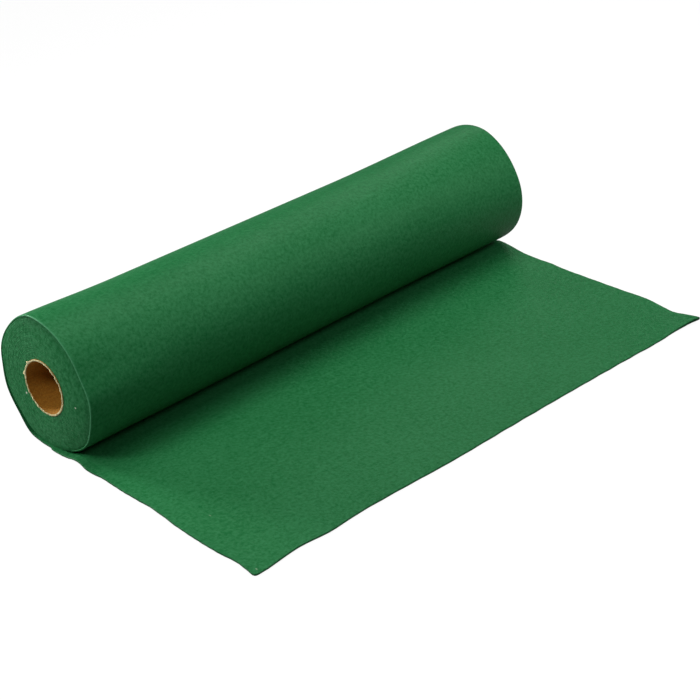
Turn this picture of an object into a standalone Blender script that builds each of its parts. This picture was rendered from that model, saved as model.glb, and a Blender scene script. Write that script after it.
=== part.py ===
"""A roll of craft felt wound on a cardboard core, its loose end unrolled flat in front of it.

Metres, +Z up. The roll's axis runs along X, with the end that shows the core best at -X. The loose end lies
towards -Y. The origin is on the surface that the roll lies on, under the middle of its axis.
"""

import math
from collections import namedtuple

import bmesh
import bpy

# Driving sizes
MM = 0.001
ROLL_LENGTH = 0.450
HALF = ROLL_LENGTH / 2
AXIS_HEIGHT = 0.0492
FELT_THICKNESS = 0.0015
LOOSE_LENGTH = 0.2158
CORE_RADIUS = 0.0205
CORE_WALL = 0.0026
CORE_PROUD = 0.0005
CORE_BACK = 0.0010
CORE_HEIGHT = 0.0483
FIT_GAP = 0.0003

# The wound felt is out of round: its radius in mm, by the angle from +Y towards +Z. A row for each flat or bulge.
Turned = namedtuple("Turned", "angle near middle far")
ROLL_SECTION = (
    Turned(0, 47.5, 48.6, 48.8),
    Turned(18, 49.1, 48.7, 49.2),
    Turned(45, 49.2, 48.3, 49.8),
    Turned(75, 51.2, 48.2, 51.1),
    Turned(97, 50.9, 48.6, 51.0),
    Turned(118, 49.9, 48.7, 48.7),
    Turned(136, 48.4, 48.6, 47.3),
    Turned(152, 47.3, 48.5, 47.2),
    Turned(173, 49.4, 48.6, 48.7),
    Turned(190, 48.8, 48.7, 49.9),
    Turned(212, 49.1, 48.9, 50.7),
    Turned(235, 48.7, 49.0, 50.0),
    Turned(262, 49.2, 49.2, 49.3),
    Turned(285, 50.3, 49.0, 49.4),
    Turned(299, 51.6, 48.9, 49.6),
    Turned(318, 47.8, 48.7, 48.8),
    Turned(340, 47.7, 48.6, 48.7),
)
NEAR_END_REACH = 0.085
FAR_END_REACH = 0.150

# Where the outer turn leaves the roll: the crease in front, and the back of the flat that it lies on.
CREASE_ANGLE = 250
BASE_BACK_ANGLE = 283
ARC_STEPS = 60
BASE_BACK = 0.0070

# How the loose end lies: turned a little off square, curled up at its cut edges, humped where it leaves the roll.
LOOSE_TURN = math.radians(2.4)
TURN_FROM = 0.024
TURN_TO = 0.085
EDGE_CURL = 0.0011
CURL_REACH = 0.030
HUMP = 0.0022
HUMP_PLACE = 0.030
HUMP_REACH = 0.013
HUMP_MIDDLE = 0.5
CORNER_LIFT = 0.0022
CORNER_REACH = 0.032
CORNER_ROUND = 0.0018

# How far the cut edges bow out of their straight line, in mm. A row for each wave.
Wave = namedtuple("Wave", "along out")
FRONT_EDGE = (
    Wave(-225, 1.8),
    Wave(-212, 1.4),
    Wave(-186, -1.3),
    Wave(-161, 0.5),
    Wave(-134, -1.2),
    Wave(-95, 0.0),
    Wave(-50, 0.8),
    Wave(15, 0.0),
    Wave(75, -0.8),
    Wave(140, 0.2),
    Wave(178, 0.7),
    Wave(205, -0.2),
    Wave(225, 1.6),
)
NEAR_EDGE = (
    Wave(24, 0.2),
    Wave(40, 0.9),
    Wave(60, -0.2),
    Wave(96, -1.1),
    Wave(116, -2.0),
    Wave(146, -0.3),
    Wave(178, -0.1),
    Wave(200, -1.5),
    Wave(216, -0.5),
)
FAR_EDGE = (
    Wave(24, 0.9),
    Wave(52, -1.2),
    Wave(74, -1.5),
    Wave(114, -0.4),
    Wave(162, 0.9),
    Wave(196, -1.9),
    Wave(216, 0.9),
)

# Fineness of the solids
STATIONS = 30
LOOSE_ROWS = 13
CORE_STEPS = 64
SHARP_ANGLE = math.radians(40)


def clear_scene():
    for thing in list(bpy.data.objects):
        bpy.data.objects.remove(thing, do_unlink=True)


def material(name, colour, roughness):
    made = bpy.data.materials.new(name)
    made.use_nodes = True
    shader = made.node_tree.nodes["Principled BSDF"]
    shader.inputs["Base Color"].default_value = (*colour, 1.0)
    shader.inputs["Roughness"].default_value = roughness
    shader.inputs["Metallic"].default_value = 0.0
    return made


def new_object(name, mesh_tool, made_of):
    mesh = bpy.data.meshes.new(name)
    bmesh.ops.recalc_face_normals(mesh_tool, faces=mesh_tool.faces)
    mesh_tool.to_mesh(mesh)
    mesh_tool.free()
    mesh.shade_smooth()
    mesh.set_sharp_from_angle(angle=SHARP_ANGLE)
    if made_of:
        mesh.materials.append(made_of)
    thing = bpy.data.objects.new(name, mesh)
    bpy.context.scene.collection.objects.link(thing)
    return thing


def ease(share):
    """0 below 0, 1 above 1, and a soft step between them."""
    share = min(1.0, max(0.0, share))
    return share * share * (3 - 2 * share)


def through(places, values, at):
    """The height at a place of the smooth curve through these values."""
    last = len(places) - 2
    i = max(k for k in range(last + 1) if k == 0 or places[k] <= at)

    def slope(k):
        low, high = max(k - 1, 0), min(k + 1, last + 1)
        return (values[high] - values[low]) / (places[high] - places[low])

    span = places[i + 1] - places[i]
    t = min(1.0, max(0.0, (at - places[i]) / span))
    start = (1 + 2 * t) * (1 - t) ** 2 * values[i] + t * (1 - t) ** 2 * span * slope(i)
    end = t * t * (3 - 2 * t) * values[i + 1] - t * t * (1 - t) * span * slope(i + 1)
    return start + end


def bow(edge, place):
    """How far a cut edge stands out of its straight line at a place along it."""
    return through([w.along for w in edge], [w.out for w in edge], place / MM) * MM


def section_radius(column, angle):
    """The roll's radius in one column of ROLL_SECTION, whose rows go round without a seam."""
    rows = [(r.angle + turn, getattr(r, column)) for turn in (-360, 0, 360) for r in ROLL_SECTION]
    return through([r[0] for r in rows], [r[1] for r in rows], angle) * MM


def roll_radius(x, angle):
    near = ease(1 - (x + HALF) / NEAR_END_REACH)
    far = ease(1 - (HALF - x) / FAR_END_REACH)
    return (
        near * section_radius("near", angle)
        + far * section_radius("far", angle)
        + (1 - near - far) * section_radius("middle", angle)
    )


def roll_point(x, angle):
    radius = roll_radius(x, angle)
    turned = math.radians(angle)
    return x, radius * math.cos(turned), AXIS_HEIGHT + radius * math.sin(turned)


def lift(across, along):
    """How high the loose end's underside stands off the surface, by its place on the flat cloth."""
    side = ease(1 - (HALF - abs(across)) / CURL_REACH)
    front = ease(1 - (LOOSE_LENGTH - along) / CURL_REACH)
    to_corner = math.hypot(HALF - across, LOOSE_LENGTH - along)
    corner = CORNER_LIFT * ease(1 - to_corner / CORNER_REACH)
    width_share = HUMP_MIDDLE + (1 - HUMP_MIDDLE) * (across / HALF) ** 2
    hump = HUMP * width_share * math.exp(-(((along - HUMP_PLACE) / HUMP_REACH) ** 2))
    return EDGE_CURL * max(side, front) + hump + corner


def loose_point(across, along, height):
    """A point of the loose end, from its place on the flat cloth: across its width, and along from the axis."""
    side_share = (across / HALF) ** 4
    front_share = (along / LOOSE_LENGTH) ** 6
    side_bow = bow(FAR_EDGE, along) if across > 0 else -bow(NEAR_EDGE, along)
    u = across + side_bow * side_share
    v = along + bow(FRONT_EDGE, across) * front_share
    at_near_corner = across <= -HALF and along >= LOOSE_LENGTH
    if at_near_corner:
        u += CORNER_ROUND
        v -= CORNER_ROUND
    turn = LOOSE_TURN * ease((along - TURN_FROM) / (TURN_TO - TURN_FROM))
    x = u * math.cos(turn) - v * math.sin(turn)
    y = -u * math.sin(turn) - v * math.cos(turn)
    return x, y, lift(across, along) + height


def station(x):
    """The felt's outline at one place along the roll, as (arc, underside, top side)."""
    steps = [i / ARC_STEPS for i in range(ARC_STEPS + 1)]
    sweep = CREASE_ANGLE - (BASE_BACK_ANGLE - 360)
    arc = [roll_point(x, CREASE_ANGLE - sweep * step) for step in steps]
    flat = [(x, BASE_BACK, 0.0), (x, 0.0, 0.0), (x, -TURN_FROM / 2, 0.0)]
    run = LOOSE_LENGTH - TURN_FROM
    alongs = [TURN_FROM + run * i / LOOSE_ROWS for i in range(LOOSE_ROWS + 1)]
    underside = [loose_point(x, along, 0.0) for along in alongs]
    top = [loose_point(x, along, FELT_THICKNESS) for along in alongs]
    return arc + flat, underside, top


def felt(made_of):
    """The wound felt and its loose end: one solid, lofted through outlines along the roll."""
    tool = bmesh.new()
    rings = []
    for i in range(STATIONS + 1):
        round_part, underside, top = station(-HALF + ROLL_LENGTH * i / STATIONS)
        rings.append([[tool.verts.new(point) for point in run] for run in (round_part, underside, top)])
    loops = [round_part + underside + top[::-1] for round_part, underside, top in rings]
    for left, right in zip(loops, loops[1:]):
        for k in range(len(left)):
            after = (k + 1) % len(left)
            tool.faces.new((left[k], left[after], right[after], right[k]))
    for round_part, underside, top in (rings[0], rings[-1]):
        tool.faces.new([*round_part, underside[0], top[0]])
        for k in range(LOOSE_ROWS):
            tool.faces.new((underside[k], underside[k + 1], top[k + 1], top[k]))
    return new_object("felt", tool, made_of)


def tube_along_x(name, outer, inner, length, made_of):
    """A round tube, or a solid rod where inner is 0, along X about the core's middle."""
    tool = bmesh.new()
    ends = []
    for x in (-length / 2, length / 2):
        rims = []
        for radius in (outer, inner) if inner else (outer,):
            angles = [math.tau * i / CORE_STEPS for i in range(CORE_STEPS)]
            rims.append([tool.verts.new((x, radius * math.cos(a), radius * math.sin(a))) for a in angles])
        ends.append(rims)
    for k in range(CORE_STEPS):
        after = (k + 1) % CORE_STEPS
        for left, right in zip(*ends):
            tool.faces.new((left[k], left[after], right[after], right[k]))
        if inner:
            for outside, inside in ends:
                tool.faces.new((outside[k], outside[after], inside[after], inside[k]))
    if not inner:
        for (rim,) in ends:
            tool.faces.new(rim)
    tube = new_object(name, tool, made_of)
    tube.location = (0.0, CORE_BACK, CORE_HEIGHT)
    return tube


def bore_through(thing):
    """The hole that the core lies in, cut from end to end with a running gap round the core."""
    cutter = tube_along_x("core_bore", CORE_RADIUS + FIT_GAP, 0.0, 2 * ROLL_LENGTH, None)
    cutter.hide_render = True
    cutter.display_type = "WIRE"
    cut = thing.modifiers.new("Core bore", "BOOLEAN")
    cut.operation = "DIFFERENCE"
    cut.solver = "EXACT"
    cut.object = cutter


def main():
    clear_scene()
    green_felt = material("green felt", (0.026, 0.180, 0.061), 0.95)
    grey_board = material("core board", (0.420, 0.230, 0.100), 0.90)
    bore_through(felt(green_felt))
    tube_along_x(
        "core_tube", CORE_RADIUS, CORE_RADIUS - CORE_WALL, ROLL_LENGTH + 2 * CORE_PROUD, grey_board
    )


main()
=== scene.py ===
"""The looks of the roll of felt, and a pale studio round it.

One strip of cloth is wound on its cardboard core, with its loose end laid out in front. Metres, +Z up, in the
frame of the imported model.
"""

import math
import random
from collections import namedtuple

import bpy
import numpy as np
from mathutils import Matrix, Vector


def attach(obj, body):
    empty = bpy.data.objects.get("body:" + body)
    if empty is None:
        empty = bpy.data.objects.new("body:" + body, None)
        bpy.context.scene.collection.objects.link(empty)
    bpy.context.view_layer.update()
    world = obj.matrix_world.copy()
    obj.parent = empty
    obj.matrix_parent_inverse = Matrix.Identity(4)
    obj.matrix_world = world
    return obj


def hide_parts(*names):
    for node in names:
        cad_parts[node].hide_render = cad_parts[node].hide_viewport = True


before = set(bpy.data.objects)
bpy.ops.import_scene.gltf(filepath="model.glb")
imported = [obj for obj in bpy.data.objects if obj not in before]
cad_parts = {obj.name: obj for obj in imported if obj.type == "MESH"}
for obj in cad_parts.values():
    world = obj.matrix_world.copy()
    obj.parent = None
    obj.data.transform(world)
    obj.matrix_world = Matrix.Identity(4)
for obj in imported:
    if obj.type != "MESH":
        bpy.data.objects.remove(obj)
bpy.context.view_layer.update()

# Sizes that the cloth and the core share with the solids
MM = 0.001
ROLL_LENGTH = 0.450
HALF = ROLL_LENGTH / 2
AXIS_HEIGHT = 0.0492
FELT_THICKNESS = 0.0015
LOOSE_LENGTH = 0.2158
CORE_RADIUS = 0.0205
CORE_WALL = 0.0026
CORE_PROUD = 0.0005
CORE_BACK = 0.0010
CORE_HEIGHT = 0.0483

# The wound felt is out of round: its radius in mm, by the angle from +Y towards +Z. A row for each flat or
# bulge. The top of the roll is a little higher than the solid's.
Turned = namedtuple("Turned", "angle near middle far")
ROLL_SECTION = (
    Turned(0, 47.5, 48.6, 48.8),
    Turned(18, 49.1, 48.9, 49.4),
    Turned(45, 49.2, 48.8, 50.2),
    Turned(75, 51.2, 48.6, 51.4),
    Turned(97, 50.9, 48.6, 51.0),
    Turned(118, 49.9, 48.7, 48.7),
    Turned(136, 48.4, 48.6, 47.3),
    Turned(152, 47.3, 48.5, 47.2),
    Turned(173, 49.4, 48.6, 48.7),
    Turned(190, 48.8, 48.7, 49.9),
    Turned(212, 49.1, 48.9, 50.7),
    Turned(235, 48.7, 49.0, 50.0),
    Turned(262, 49.2, 49.2, 49.3),
    Turned(285, 50.3, 49.0, 49.4),
    Turned(299, 51.6, 48.9, 49.6),
    Turned(318, 47.8, 48.7, 48.8),
    Turned(340, 47.7, 48.6, 48.7),
)
NEAR_END_REACH = 0.085
FAR_END_REACH = 0.150

# How the winding goes. Angles run from the underside at the back, up the back and over the top, in degrees.
TURNS = 22
TURN_START = -90
STEP_IN_FROM = 236
STEP_IN_TO = 268
CLOTH_ENDS = 258
CLOTH_SHARE = 0.975
LEAST_LAYER = 0.03
CORE_CLEAR = 0.00015

# The near end is hollow inside the outer turn, most of all at the front. Degrees count on from turn to turn.
END_DOME = 0.0040
LEAST_DOME = 0.15
DOME_FROM = 196
DOME_TO = 256
BACK_DOME = 0.8
BACK_DOME_FROM = -10
BACK_DOME_RISE = 40
BACK_DOME_TO = 95
BACK_DOME_FALL = 35
RIM_STEP = 0.0016
STEP_LAYERS = 1.6
LEVEL_SIDE = -5

# The outer turn's edge stands proud of the near end over the top, and is tucked in low at the back.
PROUD_RIM = 0.0006
PROUD_FROM = 75
PROUD_RISE = 50
RIM_TUCK = 0.0007
TUCK_ANGLE = -48
TUCK_WIDTH = 38

# Near that end the outer turn is slack low at the back, and the turns inside it are drawn in there.
SLACK = 0.0022
SLACK_ANGLE = -40
SLACK_WIDTH = 46
LIFT_OFF = 0.0013
LIFT_OFF_ANGLE = -59
LIFT_OFF_WIDTH = 27
LIFT_OFF_REACH = 0.050

# The far end stands out a little, with its rim rolled in.
FAR_RIM_OUT = 0.0019
FAR_RIM_ROLL = 0.0009
FAR_RIM_REACH = 0.0012
ENDS_REACH = 0.006

# How the cut edges drift out of the two ends: how far, degrees to a radian of the wave, and where it starts.
Drift = namedtuple("Drift", "height degrees start")
NEAR_DRIFTS = (Drift(0.00003, 47, 0), Drift(0.00003, 113, 1))
FAR_DRIFTS = (Drift(0.00010, 59, 2), Drift(0.00008, 131, 0))

# Painted light on the cut edges: painted highlight over the top of the outer turn, painted shade low at the
# back, and painted shade on the turns just inside it.
PAINTED_HIGHLIGHT_FROM = 40
PAINTED_HIGHLIGHT_RISE = 50
PAINTED_HIGHLIGHT_TO = 200
PAINTED_HIGHLIGHT_FALL = 35
PAINTED_SHADE_BELOW = -8
PAINTED_SHADE_RISE = 26
RIM_PAINTED_SHADE = 0.6
RIM_PAINTED_SHADE_LAYERS = 5.0
# How far in the hidden turns' ends take their cut look and the painted shade inside the rim
HIDDEN_CUT_AND_PAINT_SPREAD = 200.0

# How the loose end lies: turned a little off square, curled up at its cut edges, humped where it leaves the
# roll, pressed under it, and swollen at the lifted corner, where the painted shade on its cut edges reaches
# further in.
LOOSE_TURN = math.radians(2.4)
TURN_FROM = 0.024
TURN_TO = 0.085
FLAT_TO = 0.012
PRESSED_TO = 0.006
SWELLS_OVER = 0.024
EDGE_CURL = 0.0005
CURL_REACH = 0.030
HUMP = 0.0022
HUMP_PLACE = 0.030
HUMP_REACH = 0.013
HUMP_MIDDLE = 0.5
CORNER_LIFT = 0.0030
CORNER_REACH = 0.032
CUT_AND_PAINT_SPREAD = 5.0
TIP_THICKER = 0.0012
TIP_REACH = 0.024
NEAR_CORNER_RADIUS = 0.0034
FAR_CORNER_RADIUS = 0.0008
SIDE_POWER = 4
FRONT_POWER = 6

# How far the cut edges bow out of their straight line, in mm. A row for each wave.
Wave = namedtuple("Wave", "along out")
FRONT_EDGE = (
    Wave(-225, 1.8),
    Wave(-212, 1.4),
    Wave(-186, -1.1),
    Wave(-161, 0.8),
    Wave(-134, -0.7),
    Wave(-95, -0.3),
    Wave(-50, 0.9),
    Wave(15, 0.3),
    Wave(75, 0.2),
    Wave(140, 0.7),
    Wave(178, 1.4),
    Wave(194, 0.5),
    Wave(206, 1.0),
    Wave(225, 4.4),
)
NEAR_EDGE = (
    Wave(24, 1.2),
    Wave(40, 2.5),
    Wave(50, 1.7),
    Wave(60, -0.1),
    Wave(96, -1.1),
    Wave(116, -2.0),
    Wave(146, -0.1),
    Wave(178, -0.1),
    Wave(200, -1.8),
    Wave(216, 0.4),
)
FAR_EDGE = (
    Wave(24, 2.1),
    Wave(52, -0.2),
    Wave(64, 0.1),
    Wave(75, 1.3),
    Wave(86, 0.5),
    Wave(114, 1.1),
    Wave(145, 2.1),
    Wave(168, 3.2),
    Wave(187, -0.1),
    Wave(198, -2.4),
    Wave(216, 0.9),
)

# How the cut edges are torn: the length and height of each wave, how far in it reaches, and the seeds.
TORN_SIDES = ((0.0071, 0.00008), (0.0029, 0.00006), (0.0163, 0.0001))
TORN_FRONT = ((0.0083, 0.00009), (0.0034, 0.00006), (0.0211, 0.0001))
TORN_REACH = 0.004
SIDES_SEED = 5
FRONT_SEED = 6

# Places across the cloth, in mm from a cut edge: fine ones for what shows, a few for the hidden turns.
EDGE_PLACES = (0.0, 0.08, 0.25, 0.55, 1.2, 2.5, 4.5, 7.5, 11.5, 16.0, 21.0)
HIDDEN_PLACES = (0.0, 0.08, 0.25, 0.55, 1.2, 4.5, 16.0)
FINE_STEP = 6.0
HIDDEN_STEP = 52.0
ROUND_EDGE = 0.00055
ROUND_RIM = 0.0008
ROUND_WOUND = 0.00009

# Fineness along the cloth
LOOSE_STEP = 0.0034
OUTER_STEP_ANGLE = 3
HIDDEN_STEP_ANGLE = 6
HIDDEN_FROM_ANGLE = -60

# Lengths too small to matter: where the cloth's two sides meet, between places that are the same, and over 0.
CLOSED = 1e-6
SAME_PLACE = 1e-7
NEVER_ZERO = 1e-12


def ease(share):
    """0 below 0, 1 above 1, and a soft step between them."""
    share = np.clip(share, 0.0, 1.0)
    return share * share * (3 - 2 * share)


def through(places, values, at):
    """The height, at one place or many, of the smooth curve through these values."""
    places, values = np.asarray(places, float), np.asarray(values, float)
    low = np.maximum(np.arange(len(places)) - 1, 0)
    high = np.minimum(np.arange(len(places)) + 1, len(places) - 1)
    slopes = (values[high] - values[low]) / (places[high] - places[low])
    i = np.clip(np.searchsorted(places, at, side="right") - 1, 0, len(places) - 2)
    span = places[i + 1] - places[i]
    t = np.clip((at - places[i]) / span, 0.0, 1.0)
    start = (1 + 2 * t) * (1 - t) ** 2 * values[i] + t * (1 - t) ** 2 * span * slopes[i]
    return start + t * t * (3 - 2 * t) * values[i + 1] - t * t * (1 - t) * span * slopes[i + 1]


def bow(edge, place):
    """How far a cut edge stands out of its straight line at a place along it."""
    return through([w.along for w in edge], [w.out for w in edge], place / MM) * MM


def ripple(place, waves, seed):
    """A smooth uneven line: sines of these lengths and heights, their phases drawn from the seed."""
    draw = random.Random(seed)
    total = 0.0
    for length, height in waves:
        total = total + height * np.sin(math.tau * (place / length + draw.random()))
    return total


def section_radius(column, angle):
    """The roll's radius in one column of ROLL_SECTION, whose rows go round without a seam."""
    rows = [(r.angle + turn, getattr(r, column)) for turn in (-360, 0, 360) for r in ROLL_SECTION]
    return through([r[0] for r in rows], [r[1] for r in rows], angle) * MM


def outline(x, angle):
    """The roll's outside at an angle, for every place across: depth and height."""
    near = ease(1 - (x + HALF) / NEAR_END_REACH)
    far = ease(1 - (HALF - x) / FAR_END_REACH)
    radius = near * section_radius("near", angle) + far * section_radius("far", angle)
    radius = radius + (1 - near - far) * section_radius("middle", angle)
    to_rim = np.maximum(HALF + FAR_RIM_OUT - x, 0.0)
    radius = radius - FAR_RIM_ROLL * np.exp(-to_rim / FAR_RIM_REACH)
    turned = math.radians(angle)
    return radius * math.cos(turned), np.maximum(AXIS_HEIGHT + radius * math.sin(turned), 0.0)


def bump(angle, middle, width):
    """1 at the middle angle and 0 this many degrees to either side of it."""
    return math.cos(math.pi / 2 * min(1.0, abs(angle - middle) / width)) ** 2


def wound(x, angle, layers, inside):
    """A point that many layers in from the outside. The outer turn stands off the ones inside it."""
    depth, height = outline(x, angle)
    turned = math.radians(angle)
    stands_off = ease(1 - (x + HALF) / LIFT_OFF_REACH)
    if inside:
        stands_off = -LIFT_OFF * bump(angle, LIFT_OFF_ANGLE, LIFT_OFF_WIDTH) * stands_off
    else:
        stands_off = SLACK * bump(angle, SLACK_ANGLE, SLACK_WIDTH) * stands_off
    depth = depth + stands_off * math.cos(turned)
    height = np.maximum(height + stands_off * math.sin(turned), 0.0)
    hub = CORE_RADIUS + CORE_CLEAR
    hub_depth = CORE_BACK + hub * math.cos(turned)
    hub_height = CORE_HEIGHT + hub * math.sin(turned)
    out = 1 - layers / TURNS
    return np.stack([x, hub_depth + out * (depth - hub_depth), hub_height + out * (height - hub_height)], -1)


def lift(across, along):
    """How high the loose end's underside stands off the surface, by its place on the flat cloth."""
    side = ease(1 - (HALF - np.abs(across)) / CURL_REACH)
    front = ease(1 - (LOOSE_LENGTH - along) / CURL_REACH)
    to_corner = np.hypot(HALF - across, LOOSE_LENGTH - along)
    corner = CORNER_LIFT * ease(1 - to_corner / CORNER_REACH)
    width_share = HUMP_MIDDLE + (1 - HUMP_MIDDLE) * (across / HALF) ** 2
    hump = HUMP * width_share * np.exp(-(((along - HUMP_PLACE) / HUMP_REACH) ** 2))
    free = ease((along - FLAT_TO) / (TURN_FROM - FLAT_TO))
    return (EDGE_CURL * np.maximum(side, front) + hump + corner) * free


def round_corner(to_side, to_front, radius):
    """Distances to the two cut edges, drawn in so that the corner between them is round."""
    a, b = radius - to_side, radius - to_front
    inside = (a > 0) & (b > 0)
    drawn = np.where(inside, np.maximum(a, b) / np.maximum(np.hypot(a, b), NEVER_ZERO), 1.0)
    return radius - a * drawn, radius - b * drawn


def loose_points(across, along):
    """The underside and the top of the loose end, for every place across one line of the flat cloth."""
    to_side, to_front = HALF - np.abs(across), np.full_like(across, LOOSE_LENGTH - along)
    radius = np.where(across < 0, NEAR_CORNER_RADIUS, FAR_CORNER_RADIUS)
    to_side, to_front = round_corner(to_side, to_front, radius)
    u, v = np.sign(across) * (HALF - to_side), LOOSE_LENGTH - to_front
    side_share = (across / HALF) ** SIDE_POWER
    side_bow = np.where(across > 0, bow(FAR_EDGE, along), -bow(NEAR_EDGE, along))
    torn = ripple(along, TORN_SIDES, SIDES_SEED)
    u = u + side_bow * side_share + np.sign(across) * torn * np.exp(-to_side / TORN_REACH)
    torn = ripple(across, TORN_FRONT, FRONT_SEED)
    front_share = (along / LOOSE_LENGTH) ** FRONT_POWER
    v = v + bow(FRONT_EDGE, across) * front_share + torn * np.exp(-to_front / TORN_REACH)
    turn = LOOSE_TURN * ease((along - TURN_FROM) / (TURN_TO - TURN_FROM))
    x = u * np.cos(turn) - v * np.sin(turn)
    y = -u * np.sin(turn) - v * np.cos(turn)
    under = lift(across, along)
    pressed = wound(across, TURN_START, CLOTH_SHARE, False)[:, 2]
    thickness = pressed + (FELT_THICKNESS - pressed) * ease((along - PRESSED_TO) / SWELLS_OVER)
    to_tip = np.hypot(HALF - across, LOOSE_LENGTH - along)
    swollen = np.minimum(TIP_THICKER * np.exp(-((to_tip / TIP_REACH) ** 2)), under)
    under = under - swollen
    thickness = thickness + swollen
    return np.stack([x, y, under], -1), np.stack([x, y, under + thickness], -1)


def drift(travelled, drifts):
    """How far a cut edge has drifted out after this many degrees of winding."""
    return sum(d.height * math.sin(travelled / d.degrees + d.start) for d in drifts)


def hollow(travelled):
    """How much of the near end's hollow there is after this many degrees of winding."""
    inside = ease((travelled - DOME_FROM) / (DOME_TO - DOME_FROM))
    at_back = ease((travelled - BACK_DOME_FROM) / BACK_DOME_RISE)
    at_back = at_back * ease((BACK_DOME_TO - travelled) / BACK_DOME_FALL)
    return max(float(inside), BACK_DOME * float(at_back))


def ends_out(across, turn, angle, layers):
    """Places across the roll, with how far the cut edges stand out of its ends this deep in the winding."""
    travelled = 360 * turn + angle
    domed = hollow(travelled)
    sunk = 0.5 - 0.5 * math.cos(math.radians(angle - LEVEL_SIDE))
    near_out = drift(travelled, NEAR_DRIFTS)
    near_out -= END_DOME * (1 - layers / TURNS) ** 2 * domed * (LEAST_DOME + (1 - LEAST_DOME) * sunk)
    near_out -= RIM_STEP * math.exp(-layers / STEP_LAYERS) * domed * sunk
    near_out += PROUD_RIM * float(ease((travelled - PROUD_FROM) / PROUD_RISE)) * (1 - domed)
    if turn == 0:
        near_out -= RIM_TUCK * bump(angle, TUCK_ANGLE, TUCK_WIDTH)
    far_out = drift(travelled, FAR_DRIFTS) + FAR_RIM_OUT * (1 - layers / TURNS) ** 2
    out = np.where(across < 0, near_out, far_out)
    return across + np.sign(across) * out * np.exp(-(HALF - np.abs(across)) / ENDS_REACH)


def wound_points(across, turn, angle):
    """The outer and inner side of the cloth at an angle of one turn, for every place across."""
    layers = turn + float(ease((angle - STEP_IN_FROM) / (STEP_IN_TO - STEP_IN_FROM)))
    under = min(layers + CLOTH_SHARE, TURNS - LEAST_LAYER)
    outer = wound(ends_out(across, turn, angle, layers), angle, layers, turn > 0)
    inner = wound(ends_out(across, turn, angle, under), angle, under, turn > 0)
    return outer, inner


def places_across(near_edge, step):
    """Places across the cloth from edge to edge: these ones near each edge, and even ones between."""
    edge = np.array(near_edge) * MM
    last = HALF - edge[-1]
    inner = np.linspace(-last, last, 2 * round(last / MM / step) + 1)
    return np.concatenate([edge - HALF, inner[1:-1], (HALF - edge)[::-1]])


# A line of the cloth; its tone is the painted highlight on its cut edges, or painted shade where negative
Line = namedtuple("Line", "kind across along outer inner plump tone")


def cloth_lines():
    """The cloth line by line, from its front edge to its end on the core."""
    fine = places_across(EDGE_PLACES, FINE_STEP)
    hidden = places_across(HIDDEN_PLACES, HIDDEN_STEP)
    to_edge = HALF - np.abs(fine)
    middle = np.arange(EDGE_PLACES[-1] * MM, LOOSE_LENGTH, LOOSE_STEP)
    for back in [*(np.array(EDGE_PLACES[:-1]) * MM), *middle, LOOSE_LENGTH]:
        outer, inner = loose_points(fine, LOOSE_LENGTH - back)
        plump = plumpness(np.minimum(to_edge, back), ROUND_EDGE)
        # The loose end's cut edges take the full painted shade
        yield Line("loose", fine, back, outer, inner, plump, -1.0)
    travelled = LOOSE_LENGTH
    last = (TURNS - 1) * 360 + CLOTH_ENDS
    angle, before = TURN_START + OUTER_STEP_ANGLE, None
    while angle <= last:
        turn, at = divmod(angle - TURN_START, 360)
        shown = turn == 0 or (turn == 1 and at + TURN_START < HIDDEN_FROM_ANGLE)
        places = fine if shown else hidden
        outer, inner = wound_points(places, int(turn), at + TURN_START)
        if before is not None and len(before) == len(outer):
            travelled += float(np.linalg.norm((outer - before)[len(outer) // 2]))
        before = outer
        to_end = (last - angle) * math.radians(CORE_RADIUS)
        edge = np.minimum(HALF - np.abs(places), to_end)
        plump = plumpness(edge, ROUND_WOUND if turn else ROUND_RIM)
        # The outer turn's cut edge takes painted highlight over the top and painted shade low at the back;
        # the turns inside it take painted shade where it is highlighted, fading turn by turn.
        tone = rim_painted_light(at + TURN_START)
        if turn > 0:
            tone = -RIM_PAINTED_SHADE * max(0.0, tone) * math.exp(-(((turn - 1) / RIM_PAINTED_SHADE_LAYERS) ** 2))
        yield Line("hidden" if turn else "outer", places, travelled, outer, inner, plump, tone)
        angle += OUTER_STEP_ANGLE if shown and turn == 0 else HIDDEN_STEP_ANGLE


def rim_painted_light(angle):
    """How much painted highlight, or painted shade where negative, the outer turn's cut edge has at this
    angle.
    """
    pale = ease((angle - PAINTED_HIGHLIGHT_FROM) / PAINTED_HIGHLIGHT_RISE) - ease((angle - PAINTED_HIGHLIGHT_TO) / PAINTED_HIGHLIGHT_FALL)
    return float(pale - ease((PAINTED_SHADE_BELOW - angle) / PAINTED_SHADE_RISE))


def plumpness(to_edge, reach):
    """The share of its thickness that the cloth has this far from a cut edge, which is round."""
    return np.sqrt(np.clip(1 - (1 - np.minimum(to_edge / reach, 1.0)) ** 2, 0.0, 1.0))


# Where the sides of the cloth go on the map of its baked colours, as shares of the map
Chart = namedtuple("Chart", "left right low high")
TOP_CHART = Chart(0.004, 0.700, 0.004, 0.800)
UNDER_CHART = Chart(0.708, 0.996, 0.004, 0.800)
NEAR_END_CHART = Chart(0.004, 0.190, 0.808, 0.994)
FAR_END_CHART = Chart(0.200, 0.386, 0.808, 0.994)
HIDDEN_CHART = Chart(0.400, 0.996, 0.808, 0.994)
LEAST_CELL = 0.0025
END_VIEW = 0.110


def spread(places, low, high):
    """Places along one side of a chart, in order and in proportion, but at least a pixel or two apart."""
    steps = np.maximum(np.diff(places) * (high - low) / (places[-1] - places[0]), LEAST_CELL)
    return low + np.concatenate([[0.0], np.cumsum(steps)]) * (high - low) / steps.sum()


def end_on(points):
    """Places on the charts of the two ends, which are seen end on."""
    left = np.where(points[:, 0] < 0, NEAR_END_CHART.left, FAR_END_CHART.left)
    scale = (NEAR_END_CHART.right - NEAR_END_CHART.left) / END_VIEW
    depth = points[:, 1] + END_VIEW / 2
    height = points[:, 2] + END_VIEW / 2 - AXIS_HEIGHT
    return np.stack([left + scale * depth, NEAR_END_CHART.low + scale * height], -1)


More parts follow.
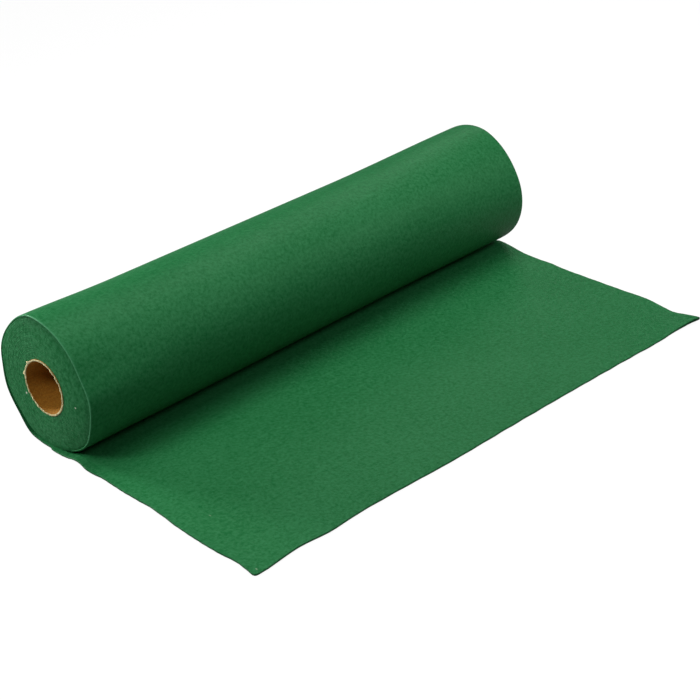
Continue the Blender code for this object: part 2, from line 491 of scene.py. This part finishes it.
def chart_places(rings):
    """For each chart, where every point of each line of the cloth goes on the map."""
    fine = rings[0].across
    loose = sum(ring.kind == "loose" for ring in rings)
    shown = loose + sum(ring.kind == "outer" for ring in rings)
    along = np.array([ring.along for ring in rings])
    top = spread(along[: shown + 1], TOP_CHART.left, TOP_CHART.right)
    under = spread(along[: loose + 1], UNDER_CHART.left, UNDER_CHART.right)
    upright = spread(fine, TOP_CHART.low, TOP_CHART.high)
    level = spread(fine, HIDDEN_CHART.left, HIDDEN_CHART.right)
    charts = {"top": [], "under": [], "hidden": [], "outer end": [], "inner end": []}
    for i, ring in enumerate(rings):
        rows = np.interp(ring.across, fine, upright)
        charts["top"].append(np.stack([np.full(len(rows), top[min(i, shown)]), rows], -1))
        charts["under"].append(np.stack([np.full(len(rows), under[min(i, loose)]), rows], -1))
        row = HIDDEN_CHART.high if i % 2 else HIDDEN_CHART.low
        columns = np.interp(ring.across, fine, level)
        charts["hidden"].append(np.stack([columns, np.full(len(rows), row)], -1))
        charts["outer end"].append(end_on(ring.outer_at))
        charts["inner end"].append(end_on(ring.inner_at))
    return charts


def chart_of(kind, is_outer, column, last):
    """The chart that a face belongs to, by its line of the cloth, its side and its place across."""
    to_edge = min(column, last - column)
    if (kind == "hidden" and to_edge == 0) or (kind == "outer" and not is_outer and to_edge < 2):
        return "outer end" if is_outer else "inner end"
    if kind != "hidden" and is_outer:
        return "top"
    return "under" if kind == "loose" else "hidden"


def faces_between(across, across_next, flip):
    """Faces between two lines, one of which may be coarser.

    Each corner is given as its line, 0 or 1, and its place there.
    """
    stops = range(len(across))
    if len(across) != len(across_next):
        stops = np.searchsorted(across, across_next - SAME_PLACE)
    for i, (a, b) in enumerate(zip(stops, stops[1:])):
        face = [(0, k) for k in range(a, b + 1)] + [(1, i + 1), (1, i)]
        yield i, face[::-1] if flip else face


Ring = namedtuple("Ring", "kind across along outer inner outer_at inner_at")


def strip_faces(rings):
    """Faces between the lines of the cloth, their corners' places on the map, and which are smooth."""
    charts = chart_places(rings)
    faces, baked, smooth = [], [], []
    for i, (ring, after) in enumerate(zip(rings, rings[1:])):
        for is_outer, ids in ((True, (ring.outer, after.outer)), (False, (ring.inner, after.inner))):
            for column, corners in faces_between(ring.across, after.across, is_outer):
                chart = chart_of(ring.kind, is_outer, column, len(after.across) - 2)
                face = {ids[row][k]: charts[chart][i + row][k] for row, k in corners}
                if len(face) < 3:
                    continue
                faces.append(list(face))
                baked += face.values()
                smooth.append("end" not in chart)
    return faces, baked, smooth


def new_piece(name, places, faces, made_of):
    """A piece with this mesh, smooth all over."""
    mesh = bpy.data.meshes.new(name)
    mesh.from_pydata(np.concatenate(places).tolist(), [], faces)
    mesh.update()
    mesh.shade_smooth()
    mesh.materials.append(made_of)
    piece = bpy.data.objects.new(name, mesh)
    bpy.context.scene.collection.objects.link(piece)
    return piece


def add_map(mesh, name, places):
    """A map of the mesh: a place for every corner of its faces."""
    layer = mesh.uv_layers.new(name=name)
    layer.uv.foreach_set("vector", np.asarray(places, np.float32).ravel())


def add_mark(mesh, name, values):
    """A number on every point of the mesh, for its material to read."""
    mark = mesh.attributes.new(name, "FLOAT", "POINT")
    mark.data.foreach_set("value", np.concatenate(values).astype(np.float32))


def felt_strip(made_of):
    """The whole cloth as one closed mesh with a map of its flat places, and how long the cloth is."""
    places, flat, cut, tone = [], [], [], []
    rings = []
    for line in cloth_lines():
        middle, half = (line.outer + line.inner) / 2, (line.outer - line.inner) / 2
        plump = line.plump[:, None]
        count = len(line.across)
        flat_line = np.stack([line.across, np.full(count, line.along)], -1)
        bare = 1 - line.plump ** cut_and_painted_reach(line)
        outer_at, inner_at = middle + half * plump, middle - half * plump
        first = sum(len(p) for p in places)
        outer = list(range(first, first + count))
        inner = [outer[0], *range(first + count, first + 2 * count - 2), outer[-1]]
        inside = slice(1, -1)
        if line.plump.max() < CLOSED:
            inner, inside = outer, slice(0, 0)
        places += [outer_at, inner_at[inside]]
        flat += [flat_line, flat_line[inside]]
        cut += [bare, bare[inside]]
        tone += [np.full(count, line.tone), np.full(count, line.tone)[inside]]
        rings.append(Ring(line.kind, line.across, line.along, outer, inner, outer_at, inner_at))
    faces, baked, smooth = strip_faces(rings)
    strip = new_piece("felt_strip", places, faces, made_of)
    mesh = strip.data
    mesh.polygons.foreach_set("use_smooth", smooth)
    flat = np.concatenate(flat)
    corners = np.empty(len(mesh.loops), np.int32)
    mesh.loops.foreach_get("vertex_index", corners)
    add_map(mesh, "cloth", flat[corners])
    add_map(mesh, "OFBake", baked)
    add_mark(mesh, "cut_edge", cut)
    # The painted highlight, or painted shade where negative, that each point's cut edge takes
    add_mark(mesh, "painted_edge_light", tone)
    return strip, float(flat[:, 1].max())


def cut_and_painted_reach(line):
    """How far in the cut look, painted shade and painted highlight reach: more at the lifted corner, rim and
    hidden ends.
    """
    if line.kind == "hidden":
        return HIDDEN_CUT_AND_PAINT_SPREAD
    if line.kind == "outer":
        return 1 + CUT_AND_PAINT_SPREAD * line.tone**2
    to_corner = np.hypot(HALF - line.across, line.along)
    return 1 + CUT_AND_PAINT_SPREAD * np.exp(-((to_corner / TIP_REACH) ** 2))


class Nodes:
    """Adds shader nodes to a material in few words."""

    def __init__(self, name):
        self.material = bpy.data.materials.new(name)
        self.material.use_nodes = True
        self.tree = self.material.node_tree
        self.shader = self.tree.nodes["Principled BSDF"]

    def add(self, kind, settings=None, **inputs):
        node = self.tree.nodes.new("ShaderNode" + kind)
        for key, value in (settings or {}).items():
            setattr(node, key, value)
        for key, value in inputs.items():
            self.feed(node.inputs[key.replace("_", " ")], value)
        return node

    def feed(self, socket, value):
        if isinstance(value, bpy.types.NodeSocket):
            self.tree.links.new(value, socket)
        else:
            socket.default_value = value

    def maths(self, operation, a, b=0.0):
        node = self.add("Math", {"operation": operation})
        self.feed(node.inputs[0], a)
        self.feed(node.inputs[1], b)
        return node.outputs[0]

    def plus(self, a, b):
        return self.maths("ADD", a, b)

    def times(self, a, b):
        return self.maths("MULTIPLY", a, b)

    def mark(self, name):
        """The number that the mesh carries under this name."""
        return self.add("Attribute", {"attribute_name": name}).outputs["Fac"]

    def blend(self, share, a, b):
        node = self.add("Mix", {"data_type": "RGBA"})
        self.feed(node.inputs["Factor"], share)
        self.feed(node.inputs["A"], a)
        self.feed(node.inputs["B"], b)
        return node.outputs["Result"]

    def noise(self, vector, scale, detail=2.0, roughness=0.5):
        node = self.add("TexNoise", None, Vector=vector, Scale=scale, Detail=detail, Roughness=roughness)
        return node.outputs["Fac"]

    def stretched(self, vector, turn, long_side, thin_side):
        """These coordinates turned, and so many to the metre along and across the turned direction."""
        node = self.add("Mapping", {"vector_type": "TEXTURE"}, Vector=vector)
        node.inputs["Rotation"].default_value = (0, 0, math.radians(turn))
        node.inputs["Scale"].default_value = (1 / long_side, 1 / thin_side, 1)
        return node.outputs[0]

    def ramp(self, value, low, high):
        node = self.add("MapRange", {"interpolation_type": "SMOOTHSTEP"}, Value=value)
        node.inputs["From Min"].default_value = low
        node.inputs["From Max"].default_value = high
        return node.outputs[0]


# Pale lint caught on the cloth: its place, how far it reaches along X, Y and Z, and how plainly it shows
LINT_COLOUR = (0.560, 0.620, 0.500, 1)
LINT_CORE = 0.4
Lint = namedtuple("Lint", "place reach share")
LINT = (
    Lint((-0.2255, 0.0227, 0.0361), (0.0040, 0.0010, 0.0012), 1.0),
    Lint((-0.2255, -0.0311, 0.0449), (0.0040, 0.0009, 0.0009), 1.0),
    Lint((-0.2255, -0.0239, 0.0247), (0.0040, 0.0004, 0.0005), 0.25),
    Lint((-0.2286, -0.2040, 0.0020), (0.0005, 0.0012, 0.0040), 0.40),
    Lint((-0.2086, -0.1406, 0.0020), (0.0006, 0.0014, 0.0040), 0.20),
)


def lint_share(n, place, lint):
    """How much of this piece of lint there is at a place."""
    off = n.add("VectorMath", {"operation": "SUBTRACT"})
    n.feed(off.inputs[0], place)
    off.inputs[1].default_value = lint.place
    shrunk = n.add("VectorMath", {"operation": "DIVIDE"})
    n.feed(shrunk.inputs[0], off.outputs[0])
    shrunk.inputs[1].default_value = lint.reach
    away = n.add("VectorMath", {"operation": "LENGTH"})
    n.feed(away.inputs[0], shrunk.outputs[0])
    return n.times(n.ramp(away.outputs["Value"], 1.0, LINT_CORE), lint.share)


# The felt: how its fibres run and how many there are to the metre along and across them, how many tufts,
# lumps and clouds to the metre, and how much each of these counts.
FIBRES_ALONG = 330
FIBRE_RUNS = ((12, 1700), (-38, 1500), (71, 1600), (-80, 1400))
TUFTS = 400
LUMPS = 170
CLOUDS = 14
PILE_SHARE = 0.40
LUMP_SHARE = 0.15
CLOUD_SHARE = 0.10
CUT_LIGHTER = 0.04
LIGHT_FROM = 0.36
LIGHT_TO = 0.68

# Colours of the felt: between its fibres and on them, and of the painted shade and painted highlight on its
# cut edges
FELT_DEEP = (0.0037, 0.1095, 0.0256, 1)
FELT_FIBRE = (0.0290, 0.1855, 0.0656, 1)
EDGE_PAINTED_SHADE = (0.0030, 0.0300, 0.0100, 1)
EDGE_PAINTED_SHADE_SHARE = 0.75
EDGE_PAINTED_HIGHLIGHT = (0.0700, 0.2900, 0.1350, 1)
EDGE_PAINTED_HIGHLIGHT_SHARE = 0.85
FELT_ROUGHNESS = 0.42
TUFT_ROUGHNESS = 0.15


def felt_material():
    """Needled felt: crossed fibres, soft clouds of colour, a matt fuzzy sheen, and painted shade and
    highlight on cut edges.
    """
    n = Nodes("green felt")
    cloth = n.add("UVMap", {"uv_map": "cloth"}).outputs[0]
    place = n.add("TexCoord").outputs["Object"]
    edge = n.mark("cut_edge")
    fibres = [n.noise(n.stretched(cloth, turn, FIBRES_ALONG, thin), 1.0) for turn, thin in FIBRE_RUNS]
    pile = n.maths("MAXIMUM", n.maths("MAXIMUM", *fibres[:2]), n.maths("MAXIMUM", *fibres[2:]))
    tufts = n.noise(cloth, TUFTS, 3.0, 0.6)
    cut_tufts = n.noise(place, TUFTS, 3.0, 0.6)
    lumps = n.noise(cloth, LUMPS)
    clouds = n.noise(cloth, CLOUDS)
    on_side = n.plus(n.times(pile, PILE_SHARE), n.times(tufts, 1 - PILE_SHARE))
    on_side = n.times(on_side, n.maths("SUBTRACT", 1.0, edge))
    on_cut = n.times(n.plus(cut_tufts, CUT_LIGHTER), edge)
    height = n.plus(on_side, on_cut)
    light = n.plus(n.times(height, 1 - LUMP_SHARE), n.times(lumps, LUMP_SHARE))
    light = n.plus(light, n.times(n.maths("SUBTRACT", clouds, 0.5), CLOUD_SHARE))
    colour = n.blend(n.ramp(light, LIGHT_FROM, LIGHT_TO), FELT_DEEP, FELT_FIBRE)
    # Painted shade on the cut edges where their tone is below 0, and painted highlight where it is above
    tone = n.mark("painted_edge_light")
    deep = n.times(n.times(edge, n.ramp(tone, 0.0, -1.0)), EDGE_PAINTED_SHADE_SHARE)
    pale = n.times(n.times(edge, n.ramp(tone, 0.0, 1.0)), EDGE_PAINTED_HIGHLIGHT_SHARE)
    colour = n.blend(deep, colour, EDGE_PAINTED_SHADE)
    colour = n.blend(pale, colour, EDGE_PAINTED_HIGHLIGHT)
    for lint in LINT:
        colour = n.blend(lint_share(n, place, lint), colour, LINT_COLOUR)
    n.feed(n.shader.inputs["Base Color"], colour)
    n.feed(n.shader.inputs["Roughness"], n.plus(n.times(tufts, TUFT_ROUGHNESS), FELT_ROUGHNESS))
    n.shader.inputs["Specular IOR Level"].default_value = 0.14
    n.shader.inputs["Specular Tint"].default_value = (0.40, 1.0, 0.50, 1)
    n.shader.inputs["Sheen Weight"].default_value = 0.01
    n.shader.inputs["Sheen Roughness"].default_value = 0.45
    n.shader.inputs["Sheen Tint"].default_value = (0.55, 0.80, 0.62, 1)
    bumps = n.add("Bump", None, Height=height, Strength=0.8, Distance=0.0006)
    n.feed(n.shader.inputs["Normal"], bumps.outputs[0])
    return n.material


# The core board: its grain and the streaks along it, so many to the metre, and its brown and its cut colours
GRAIN = 900
GRAIN_SHARE = 0.75
STREAKS = (90, 1200, 1200)
BROWN_DEEP = (0.285, 0.116, 0.008, 1)
BROWN_LIGHT = (0.400, 0.182, 0.017, 1)
CUT_DEEP = (0.450, 0.370, 0.180, 1)
CUT_LIGHT = (0.620, 0.580, 0.330, 1)


def board_material():
    """Brown kraft board, grained and faintly streaked, and pale and fibrous where it is cut."""
    n = Nodes("core board")
    place = n.add("TexCoord").outputs["Object"]
    grain = n.noise(place, GRAIN, 4.0, 0.65)
    stretched = n.add("Mapping", None, Vector=place)
    stretched.inputs["Scale"].default_value = STREAKS
    streaks = n.noise(stretched.outputs[0], 1.0, 3.0)
    tone = n.plus(n.times(grain, GRAIN_SHARE), n.times(streaks, 1 - GRAIN_SHARE))
    brown = n.blend(n.ramp(tone, 0.35, 0.65), BROWN_DEEP, BROWN_LIGHT)
    edge = n.mark("cut_edge")
    pale = n.blend(n.ramp(grain, 0.4, 0.6), CUT_DEEP, CUT_LIGHT)
    n.feed(n.shader.inputs["Base Color"], n.blend(edge, brown, pale))
    n.shader.inputs["Roughness"].default_value = 0.85
    n.shader.inputs["Specular IOR Level"].default_value = 0.3
    bump = n.add("Bump", None, Height=tone, Strength=0.4, Distance=0.0003)
    n.feed(n.shader.inputs["Normal"], bump.outputs[0])
    return n.material


# The core's ends: a cut ring thinner than the wall, which the bore tapers to, torn inside and outside. Waves
# are given as a share of the way round and a height. Lines along the tube are in mm from its end.
CORE_STEPS = 240
CORE_LINES = (0.35, 1.0, 3.0, 8.0, 20.0, 45.0, 90.0, 150.0)
RING_WALL = 0.0014
TAPER = 0.012
OUTER_LIP = 0.00012
INNER_LIP = 0.00010
RING_CROWN = 0.00012
TORN_RING = ((1 / 3, 0.00010), (1 / 7, 0.00008), (1 / 19, 0.00009), (1 / 41, 0.00006))
TORN_OUTSIDE = ((1 / 23, 0.00012), (1 / 47, 0.0001))
TORN_INSIDE = ((1 / 17, 0.00012), (1 / 39, 0.0001))
NEAR_RING_SEED = 21
FAR_RING_SEED = 22
OUTSIDE_SEED_STEP = 10
INSIDE_SEED_STEP = 20

# Flakes of paper torn up from the near rim of the core: the angle in degrees, its width, how far out and how
# proud, and how much of that the middle of the cut ring follows.
Flake = namedtuple("Flake", "angle width out proud")
FLAKES = (Flake(11, 2.6, 0.0011, 0.0006), Flake(16, 1.6, 0.0005, 0.0005), Flake(44, 3.4, 0.0012, 0.0007))
FLAKE_FOLLOWED = 0.4


def core_profile(side):
    """Half of the tube's section: along, radius, and how much of the torn edge and of the crown it has."""
    inner = CORE_RADIUS - RING_WALL
    end = HALF + CORE_PROUD
    profile = [(side * (end - line * MM), CORE_RADIUS, 0.0, 0.0) for line in reversed(CORE_LINES)]
    profile.append((side * end, CORE_RADIUS - OUTER_LIP, 1.0, 0.0))
    profile.append((side * end, inner + RING_WALL / 2, 1.0, 1.0))
    profile.append((side * end, inner + INNER_LIP, 1.0, 0.0))
    for line in CORE_LINES:
        narrower = (CORE_WALL - RING_WALL) * float(ease(line * MM / TAPER))
        profile.append((side * (end - line * MM), inner - narrower, 0.0, 0.0))
    return profile if side < 0 else profile[::-1]


def core_rings(side, seed, steps):
    """Rings of points round one half of the tube: places along, radii, and how much each ring is cut."""
    torn = ripple(steps, TORN_RING, seed)
    lip_out = ripple(steps, TORN_OUTSIDE, seed + OUTSIDE_SEED_STEP)
    lip_in = ripple(steps, TORN_INSIDE, seed + INSIDE_SEED_STEP)
    flaked_out, flaked_up = np.zeros(CORE_STEPS), np.zeros(CORE_STEPS)
    for flake in FLAKES if side < 0 else ():
        shape = np.exp(-(((360 * steps - flake.angle) / flake.width) ** 2))
        flaked_out = flaked_out + flake.out * shape
        flaked_up = flaked_up + flake.proud * shape
    ring_middle = CORE_RADIUS - RING_WALL + RING_WALL / 2
    for along, radius, share, crown in core_profile(side):
        outside = radius > ring_middle
        ragged = torn * share + (lip_out if outside else lip_in) * share
        x = along - side * RING_CROWN * (1 - crown) * share + side * (ragged + flaked_up * share * outside)
        wide = radius + flaked_out * share * outside + FLAKE_FOLLOWED * flaked_out * crown
        yield x + np.zeros(CORE_STEPS), wide + np.zeros(CORE_STEPS), share


def core_tube(made_of):
    """The cardboard tube: plain walls inside, and cut rings whose edges are a little torn."""
    steps = np.arange(CORE_STEPS) / CORE_STEPS
    rings = [*core_rings(-1, NEAR_RING_SEED, steps), *core_rings(1, FAR_RING_SEED, steps)]
    places, cut, faces = [], [], []
    for x, radius, share in rings:
        y = CORE_BACK + radius * np.cos(math.tau * steps)
        z = CORE_HEIGHT + radius * np.sin(math.tau * steps)
        places.append(np.stack([x, y, z], -1))
        cut.append(np.full(CORE_STEPS, share))
    count = len(rings)
    for r in range(count):
        for k in range(CORE_STEPS):
            here, there = r * CORE_STEPS, (r + 1) % count * CORE_STEPS
            after = (k + 1) % CORE_STEPS
            faces.append((here + k, here + after, there + after, there + k))
    tube = new_piece("core_board_tube", places, faces, made_of)
    add_mark(tube.data, "cut_edge", cut)
    return tube


# The camera, which stands where the photograph was taken from
CAMERA_AZIMUTH = math.radians(-45.894)
CAMERA_HEIGHT = math.radians(28.822)
CAMERA_ROLL = math.radians(-1.582)
CAMERA_DISTANCE = 1.2187
CAMERA_AIM = Vector((0.0096, -0.0565, 0.0))
SENSOR_WIDTH = 36.0
LENS = 83.57
CLIP_START = 0.01

# The floor that shows, and the one under it for the light that a floor throws back
PAPER = (0.09, 0.09, 0.09, 1)
WHITE = (1, 1, 1, 1)
FLOOR_SIZE = 8.0
FLOOR_HEIGHT = -0.0001
FLOOR_GLOW = 0.95
THROWN_HEIGHT = -0.0020
THROWN_GLOW = 0.35

# The soft lights: where each stands, what it points at, how wide it is and how strong, in watts
Lamp = namedtuple("Lamp", "name place aim size power")
LAMPS = (
    Lamp("over_far_end", (0.25, 0.0, 1.0), (0, 0, 0), 0.8, 6.3),
    Lamp("past_far_end", (0.45, 0.0, 1.0), (0, 0, 0), 0.5, 1.1),
    Lamp("right_back", (1.0, 0.55, 0.75), (0, -0.1, 0), 0.4, 1.5),
    Lamp("left_side", (-0.38, 0.5, 0.22), (-0.22, 0, 0.05), 0.16, 3.1),
    Lamp("left_front", (-0.75, 0.03, 0.62), (-0.22, 0, 0.05), 0.2, 2.9),
    Lamp("right_front", (0.75, -0.66, 0.65), (0, 0, 0), 0.3, 4.0),
)


def camera():
    """The camera, its direction given by its azimuth, height and roll about the aim."""
    level_share = math.cos(CAMERA_HEIGHT)
    back_x = math.sin(CAMERA_AZIMUTH) * level_share
    back_y = -math.cos(CAMERA_AZIMUTH) * level_share
    back = Vector((back_x, back_y, math.sin(CAMERA_HEIGHT)))
    level = (-back).cross(Vector((0, 0, 1))).normalized()
    upright = level.cross(-back)
    right = level * math.cos(CAMERA_ROLL) + upright * math.sin(CAMERA_ROLL)
    up = upright * math.cos(CAMERA_ROLL) - level * math.sin(CAMERA_ROLL)
    eye = bpy.data.objects.new("camera", bpy.data.cameras.new("camera"))
    turned = Matrix((right, up, back)).transposed().to_4x4()
    eye.matrix_world = Matrix.Translation(CAMERA_AIM + back * CAMERA_DISTANCE) @ turned
    eye.data.sensor_width = SENSOR_WIDTH
    eye.data.lens = LENS
    eye.data.clip_start = CLIP_START
    bpy.context.scene.collection.objects.link(eye)
    bpy.context.scene.camera = eye


def ground(name, height, brightness):
    """A level plane of plain paper that glows this brightly."""
    n = Nodes(name)
    n.shader.inputs["Base Color"].default_value = PAPER
    n.shader.inputs["Roughness"].default_value = 0.9
    n.shader.inputs["Specular IOR Level"].default_value = 0.0
    n.shader.inputs["Emission Color"].default_value = WHITE
    n.shader.inputs["Emission Strength"].default_value = brightness
    half = FLOOR_SIZE / 2
    corners = [(-half, -half, 0), (half, -half, 0), (half, half, 0), (-half, half, 0)]
    mesh = bpy.data.meshes.new(name)
    mesh.from_pydata(corners, [], [(0, 1, 2, 3)])
    mesh.materials.append(n.material)
    plane = bpy.data.objects.new(name, mesh)
    plane.location = (0, 0, height)
    bpy.context.scene.collection.objects.link(plane)
    return plane


def floor():
    """The white floor that shows, and under it a dimmer one for the light that the floor throws back."""
    shown = ground("floor", FLOOR_HEIGHT, FLOOR_GLOW)
    shown.visible_diffuse = False
    shown.visible_glossy = False
    thrown_back = ground("floor_light", THROWN_HEIGHT, THROWN_GLOW)
    thrown_back.visible_camera = False


def soft_light(lamp):
    """A square soft light that the camera doesn't see."""
    light = bpy.data.lights.new(lamp.name, "AREA")
    light.shape = "SQUARE"
    light.size = lamp.size
    light.energy = lamp.power
    held = bpy.data.objects.new(lamp.name, light)
    held.location = lamp.place
    held.visible_camera = False
    towards = Vector(lamp.aim) - Vector(lamp.place)
    held.rotation_euler = towards.to_track_quat("-Z", "Y").to_euler()
    bpy.context.scene.collection.objects.link(held)


def studio():
    """White surroundings that throw no light of their own, and the soft lights."""
    world = bpy.data.worlds.new("studio")
    bpy.context.scene.world = world
    world.use_nodes = True
    world.node_tree.nodes["Background"].inputs["Color"].default_value = WHITE
    world.node_tree.nodes["Background"].inputs["Strength"].default_value = 1.0
    world.cycles_visibility.diffuse = False
    world.cycles_visibility.glossy = False
    for lamp in LAMPS:
        soft_light(lamp)
    bpy.context.scene.view_settings.view_transform = "Standard"


def main():
    studio()
    camera()
    floor()
    strip, length = felt_strip(felt_material())
    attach(strip, "root")
    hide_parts("felt")
    tube = core_tube(board_material())
    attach(tube, "root")
    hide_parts("core_tube")


main()
